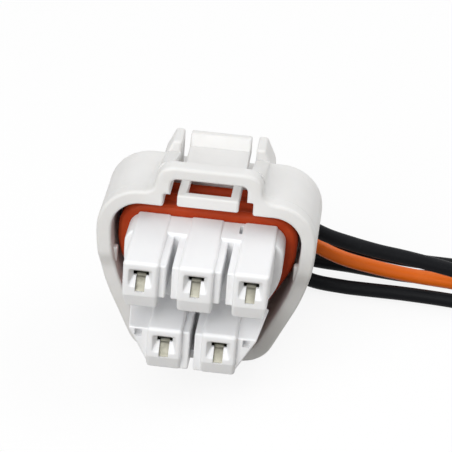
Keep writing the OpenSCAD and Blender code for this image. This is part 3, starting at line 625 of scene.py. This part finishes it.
rear = bmesh.new()
loft(rear, [across(outline(rear_plate(FLOOR_IN)), FLOOR_IN)] + [
    across(outline(rear_plate(HOOD_BACK - t), d), HOOD_BACK - t) for d, t in reversed(rounding(0.5))])

# Barrel behind the hood, and the core that carries the ring seal
barrel = bar(mirrored([(10.7, 21.1, 3, 8), (10.7, 15.9, 3, 4), (6.09, 4.25, 3, 7)]), 22.3, END, 0.1, 0.5)
core = bar(mirrored([(9.65, 19.49, 1.6, 6), (9.65, 14.5, 8, 4), (4.92, 5.6, 0.6, 4)]), 13.25, 21.5, 0.1, 0.1)

# Lock arm: catch bar, two legs round the window, the webs that carry it and the press pad
ARM_HALF, WINDOW_HALF, PAD_HALF = 3.9, 2.75, 4.0
CATCH_LOW, WEB_TOP, PAD_TOP = 22.94, ARM_TOP - 0.3, 26.09
catch = bar([(10.3, CATCH_LOW, 0.3, 3), (10.3, ARM_TOP, 0.25, 4), (11.5, ARM_TOP, 0.25, 3),
             (11.5, CATCH_LOW, 0.25, 3)], -ARM_HALF, ARM_HALF, 0.3, 0.3, sideways)
legs = [bar([(s * WINDOW_HALF, ARM_LOW, 0.2, 3), (s * WINDOW_HALF, ARM_TOP, 0.2, 3),
             (s * ARM_HALF, ARM_TOP, 0.2, 3), (s * ARM_HALF, ARM_LOW, 0.2, 3)],
            11.0, 19.2, 0.1, 0.1) for s in (-1, 1)]
plate = bar(mirrored([(PAD_HALF, ARM_TOP - 0.005, 0.25, 3), (PAD_HALF, ARM_LOW, 0.2, 3)]),
            18.7, 25.0, 0.25, 0.1)
webs = [bar([(s * 3.6, ARM_LOW + 0.01, 0.1, 2), (s * 3.6, WEB_TOP, 0.1, 2), (s * 5.95, WEB_TOP, 0.1, 2),
             (s * 5.95, ARM_LOW + 0.01, 0.1, 2)], 16.6, 18.4, 0.2, 0.2) for s in (-1, 1)]
pad = bar([(24.4, ARM_LOW - 0.01, 0.2, 2), (24.4, ARM_TOP + 0.03, 0.1, 2), (25.2, PAD_TOP, 0.35, 4),
           (26.4, PAD_TOP, 0.45, 4), (26.4, ARM_LOW - 0.01, 0.25, 3)],
          -PAD_HALF, PAD_HALF, 0.25, 0.25, sideways)

# Guard ears that lean in towards their tips, beside the pad
EAR_LOW, EAR_TOP = 19.8, 26.05
ears = [bar([(s * CHANNEL_HALF, EAR_LOW, 0.1, 2), (s * CHANNEL_HALF, EAR_TOP, 0.35, 4),
             (s * 6.0, EAR_TOP, 0.5, 5), (s * 7.3, 23.2, 3.0, 8), (s * 7.3, EAR_LOW, 0.1, 2)],
            22.3, 26.7, 0.4, 0.5) for s in (-1, 1)]

# Guide keys inside the hood's walls, ahead of the ring seal
GUIDE_LOW, GUIDE_TOP = 12.9, 15.1
guides = [bar([(s * 11.35, GUIDE_LOW, 0.2, 3), (s * 11.35, GUIDE_TOP, 0.2, 3), (s * 12.9, GUIDE_TOP, 0.1, 2),
               (s * 12.4, GUIDE_LOW, 0.1, 2)], 12.3, 13.2, 0.3, 0.05) for s in (-1, 1)]
BORE_R, LEAD_IN, BORE_SIDES = 2.6, 0.25, 40
CAVITY_HALF, CAVITY_UP, CAVITY_DOWN = 1.6, 0.3, 3.1
AXIS_DROP = 1.4


def bore(x, z):
    """A round bore for a wire seal, with a small lead-in at its mouth."""
    bm = bmesh.new()
    turns = [math.tau * k / BORE_SIDES for k in range(BORE_SIDES)]
    rows = [(BORE_R, 21.0), (BORE_R, END - LEAD_IN), (BORE_R + LEAD_IN, END), (BORE_R + LEAD_IN, END + 1)]
    loft(bm, [[Vector((x + r * math.cos(t), d - BACK_Y, z + r * math.sin(t))) for t in turns] for r, d in rows])
    return bm


def cavity(x, slot_top, start, stop):
    """A straight cavity for a terminal."""
    left, right = x - CAVITY_HALF, x + CAVITY_HALF
    low, top = slot_top - CAVITY_DOWN, slot_top + CAVITY_UP
    return bar([(left, low, 0.1, 1), (left, top, 0.1, 1), (right, top, 0.1, 1), (right, low, 0.1, 1)],
               start, stop, 0.01, 0.01)


bores = [bore(x, z - AXIS_DROP) for x, z in contact_places]
cavities = [cavity(x, z, 12.2, 21.3) for x, z in contact_places]
housing_solids = [rim, shell, rear, barrel, core, catch, *legs, plate, *webs, pad, *ears, *guides]
housing = moulded("housing_moulding", housing_solids, bores + cavities, housing_white)
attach(housing, "root")
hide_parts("housing")

# ---- Ring seal
# One ring of orange-red silicone with three rounded ribs, moulded, stretched over the core
# behind the front holder. It seals against the mating half's shroud.
ring_silicone = finish("ring_seal_silicone", silicone, 0.12, 0.0001, {"Specular IOR Level": 0.14},
                       Colour=(0.41, 0.043, 0.009, 1), Bloom=(0.46, 0.07, 0.02, 1), Gloss=0.45)
COLLAR_HALF, COLLAR_WAIST, COLLAR_LOW = 10.05, 14.5, 5.2
HOLDER_LEAN = math.tan(math.radians(28))
SEAL_TOP = 19.89


def collar(grow):
    """Outline of the seal's seat on the core, which follows the holder's collar, grown on every side."""
    foot = COLLAR_HALF + grow - (COLLAR_WAIST - COLLAR_LOW + grow) * HOLDER_LEAN
    return outline(mirrored([
        (COLLAR_HALF + grow, SEAL_TOP + grow, max(0.3, 2 + grow), 7), (COLLAR_HALF + grow, COLLAR_WAIST, 8, 5),
        (foot, COLLAR_LOW - grow, 0.6 + max(grow, 0), 6)]))


SEAL_FRONT, SEAL_LEN = 13.25, 7.2
SEAL_STEPS = 48
SEAL_IN, SEAL_EDGE, SEAL_OUT = -0.35, 0.75, 0.85
RIB_PLACES = (13.9, 16.85, 19.8)
RIB_REACH, RIB_RISE = 0.85, 0.6
rings = [across(collar(SEAL_IN), SEAL_FRONT + SEAL_LEN), across(collar(SEAL_IN), SEAL_FRONT),
         across(collar(SEAL_EDGE), SEAL_FRONT)]
for i in range(SEAL_STEPS + 1):
    depth = SEAL_FRONT + SEAL_LEN * i / SEAL_STEPS
    crest = 0.0
    for place in RIB_PLACES:
        off = abs(depth - place) / RIB_REACH
        if off < 1:
            crest = math.cos(off * math.pi / 2) ** 1.1
    rings.append(across(collar(SEAL_OUT + RIB_RISE * crest), depth))
rings.append(across(collar(SEAL_EDGE), SEAL_FRONT + SEAL_LEN))
bm = bmesh.new()
loft(bm, rings, caps=False)
seal = mesh_piece("ring_seal_silicone_ring", bm, ring_silicone, sharp=50)
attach(seal, "root")
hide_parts("ring_seal")

# ---- Front holder
# A second white moulding, pushed on over the terminals' noses: five towers with lead-in mouths
# and blade slots on one collar. It locks the terminals in and holds the ring seal on the core.
holder_white = finish(
    "holder_white_plastic", moulding, 0.08, 0.0001,
    {"Specular IOR Level": 0.45, "Subsurface Weight": 0.12, "Subsurface Scale": 0.0006,
     "Subsurface Radius": (1.0, 0.9, 0.8)},
    Colour=(0.9, 0.905, 0.915, 1), Shade=(0.825, 0.83, 0.85, 1), Gloss=0.4, Cloud=0.4)
BACK = 13.2
COLLAR_FRONT, COLLAR_TOP = 8.6, 20.09
TOWER_HALF, TOWER_UP = 2.2, 1.64
UPPER_DROP, LOWER_DROP = 4.9, 4.35
BEVEL_DEPTH, BEVEL_HEIGHT = 0.7, 1.9
SET_BACK = 0.8


def tower(x, slot_top, drop):
    """A tower with a bevelled nose, drawn from the side and rounded at its flanks."""
    top, low = slot_top + TOWER_UP, slot_top - drop
    side = [(0, top, 0.5, 5), (0, low + BEVEL_HEIGHT, 0.6, 3), (BEVEL_DEPTH, low, 0.35, 3),
            (BACK, low, 0.1, 1), (BACK, top, 0.1, 1)]
    return bar(side, x - TOWER_HALF, x + TOWER_HALF, 0.45, 0.45, sideways)


def rib(x, side, slot_top):
    """A rib on the side of an upper tower that faces its neighbour."""
    near, far = x + side * 1.8, x + side * 3.05
    low, top = slot_top - 3.45, slot_top + 1.09
    return bar([(near, low, 0.1, 2), (near, top, 0.1, 2), (far, top, 0.2, 3), (far, low, 0.2, 3)],
               SET_BACK, BACK - 0.01, 0.25, 0.05)


LANE_HALF = 0.3
NOSE_LOW, NOSE_TOP, NOSE_BACK = 5.22, 10.64, 8.62
NOSE_LOW_HALF, NOSE_TOP_HALF, NOSE_FLARE = 5.22, 8.15, 0.85


def nose(side):
    """Half of the block that both lower towers stand out of. It flares towards the collar."""
    rings = []
    for inset, depth in [(d, SET_BACK + t) for d, t in rounding(0.22)] + [(0, NOSE_BACK)]:
        flare = NOSE_FLARE * (depth - SET_BACK) / (NOSE_BACK - SET_BACK)
        corners = [(side * LANE_HALF, NOSE_LOW, 0.25, 3), (side * LANE_HALF, NOSE_TOP, 0.3, 4),
                   (side * (NOSE_TOP_HALF + flare), NOSE_TOP, 0.25, 4),
                   (side * (NOSE_LOW_HALF + flare), NOSE_LOW, 0.5, 4)]
        rings.append(across(outline(corners, inset), depth))
    bm = bmesh.new()
    loft(bm, rings)
    return bm


collar_foot = COLLAR_HALF - (COLLAR_WAIST - COLLAR_LOW) * HOLDER_LEAN
solids = [bar(mirrored([(COLLAR_HALF, COLLAR_TOP, 2, 8), (COLLAR_HALF, COLLAR_WAIST, 8, 5),
                        (collar_foot, COLLAR_LOW, 0.6, 5)]), COLLAR_FRONT, BACK, 0.35, 0.15)]
solids += [tower(x, z, UPPER_DROP if z == UPPER_SLOT else LOWER_DROP) for x, z in contact_places]
solids += [rib(x, side, UPPER_SLOT) for x, side in ((-PITCH, 1), (0, -1), (0, 1), (PITCH, -1))]
solids += [nose(-1), nose(1)]
# Web under the lane between the lower towers
solids.append(bar(mirrored([(0.7, 6.4, 0.1, 1), (0.7, 5.23, 0.1, 1)]), 3.6, 9.0, 0.1, 0.05))


def mouth(x, slot_top):
    """Lead-in that narrows from the front face to the blade slot, with a softened lip."""
    # Depth, half width, rise and drop from the slot's top edge, and corner radius
    rows = [(-0.6, 1.64, 0.84, 1.97, 0.4), (0, 1.6, 0.8, 1.93, 0.4), (0.05, 1.5, 0.68, 1.81, 0.35),
            (0.15, 1.42, 0.58, 1.71, 0.3), (1.0, 0.975, 0, 0.68, 0.1), (1.6, 0.97, -0.005, 0.675, 0.1)]
    bm = bmesh.new()
    loft(bm, [across(outline([(x - w, slot_top - down, r, 3), (x - w, slot_top + up, r, 3),
                              (x + w, slot_top + up, r, 3), (x + w, slot_top - down, r, 3)]), d)
              for d, w, up, down, r in rows])
    return bm


def groove(x, slot_top):
    """Relief groove under the slot."""
    left, right = x - 0.6, x + 0.6
    low, top = slot_top - 2.5, slot_top - 0.35
    return bar([(left, low, 0.1, 2), (left, top, 0.1, 2), (right, top, 0.1, 2), (right, low, 0.1, 2)],
               -0.6, 1.6, 0.05, 0.05)


def notch(side):
    """Small pocket in the front of a lower shoulder, close under its top."""
    near, far, low, top = side * 6.3, side * 7.25, 9.4, 10.42
    return bar([(near, low, 0.12, 2), (near, top, 0.1, 2), (far, top, 0.1, 2), (far, low, 0.12, 2)],
               0.0, 2.0, 0.02, 0.05)


def outer_cut(side):
    """Leans the outer side of an end tower in at the bottom, as the collar's side does."""
    curve = [(9.0, 16.5), (8.92, 15.6), (8.72, 14.6), (8.38, 13.6), (8.38, 13.0), (9.6, 13.0), (9.6, 16.5)]
    return bar([(side * x, z, 0, 0) for x, z in curve], -1, 8.7, 0.01, 0.01)


def corner_cut(side):
    """Clears the lower towers' outer corners down to the leaning flanks."""
    corners = [(4.57, 4), (6.73, 8), (9, 8), (9, 4)]
    return bar([(side * x, z, 0, 0) for x, z in corners], -1, 0.85, 0.01, 0.01)


cuts = [make(x, z) for make in (mouth, groove) for x, z in contact_places]
cuts += [cavity(x, z, 1.35, BACK + 1) for x, z in contact_places]
cuts += [make(side) for make in (notch, outer_cut, corner_cut) for side in (-1, 1)]
# Small sprue slot in the collar's top, beside the last upper tower
cuts.append(bar([(4.2, 18.25, 0.05, 1), (4.2, 21, 0.05, 1), (4.6, 21, 0.05, 1), (4.6, 18.25, 0.05, 1)],
                10.4, 12.4, 0.05, 0.05))
holder = moulded("front_holder_moulding", solids, cuts, holder_white)
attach(holder, "root")
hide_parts("front_holder")

# ---- Bench and light
# A large sheet of white paper, a soft lamp to the left of the camera, weaker ones overhead and
# behind on the right, and a pale room round them. The paper is white to the eye, keeps a faint
# shadow and throws little light back.
ROOM_LIGHT = 0.41
PAPER_WHITE = 0.87
PAPER_SEEN = (0.98, 0.98, 0.98, 1)
PAPER_BOUNCE = (0.24, 0.225, 0.2, 1)
BENCH_HALF = 3


def seen_directly(tree):
    """1 for rays from the camera, from a glossy surface or through a clear one."""
    path = tree.nodes.new("ShaderNodeLightPath")
    near = add(tree, "ShaderNodeMath", operation="MAXIMUM",
               i0=path.outputs["Is Camera Ray"], i1=path.outputs["Is Glossy Ray"]).outputs[0]
    return add(tree, "ShaderNodeMath", operation="MAXIMUM",
               i0=near, i1=path.outputs["Is Transmission Ray"]).outputs[0]


paper = bpy.data.materials.new("bench_white_paper")
paper.use_nodes = True
tree = paper.node_tree
lit = tree.nodes["Principled BSDF"]
direct = seen_directly(tree)
tree.links.new(tint(tree, direct, PAPER_BOUNCE, PAPER_SEEN), lit.inputs["Base Color"])
lit.inputs["Roughness"].default_value = 0.9
lit.inputs["Specular IOR Level"].default_value = 0.1
glow = add(tree, "ShaderNodeEmission", Color=(1, 1, 1, 1), Strength=1.0)
share = add(tree, "ShaderNodeMath", operation="MULTIPLY", i0=direct, i1=PAPER_WHITE)
blend = tree.nodes.new("ShaderNodeMixShader")
for source, socket in zip((share, lit, glow), blend.inputs):
    tree.links.new(source.outputs[0], socket)
tree.links.new(blend.outputs[0], tree.nodes["Material Output"].inputs["Surface"])
bm = bmesh.new()
bmesh.ops.create_grid(bm, x_segments=1, y_segments=1, size=BENCH_HALF)
bench = mesh_piece("bench", bm, paper)

room = bpy.data.worlds.new("room")
room.use_nodes = True
scene.world = room
tree = room.node_tree
ambient = tree.nodes["Background"]
ambient.inputs["Color"].default_value = (1, 1, 1, 1)
ambient.inputs["Strength"].default_value = ROOM_LIGHT
backdrop = add(tree, "ShaderNodeBackground", Color=(1, 1, 1, 1), Strength=1.0)
blend = tree.nodes.new("ShaderNodeMixShader")
tree.links.new(seen_directly(tree), blend.inputs[0])
tree.links.new(ambient.outputs[0], blend.inputs[1])
tree.links.new(backdrop.outputs[0], blend.inputs[2])
tree.links.new(blend.outputs[0], tree.nodes["World Output"].inputs["Surface"])

AIM = Vector((0, 0, 0.012))
LAMP_SIZE = 0.4


def lamp(name, place, power):
    """A square soft lamp that faces the connector."""
    light = bpy.data.lights.new(name, "AREA")
    light.energy, light.size = power, LAMP_SIZE
    piece = bpy.data.objects.new(name, light)
    scene.collection.objects.link(piece)
    piece.location = place
    piece.rotation_euler = (AIM - Vector(place)).to_track_quat("-Z", "Y").to_euler()


lamp("key", (-0.2, -0.46, 0.3), 2.22)
lamp("top", (-0.05, -0.12, 0.55), 0.54)
lamp("fill", (0.34, 0.2, 0.36), 0.9)
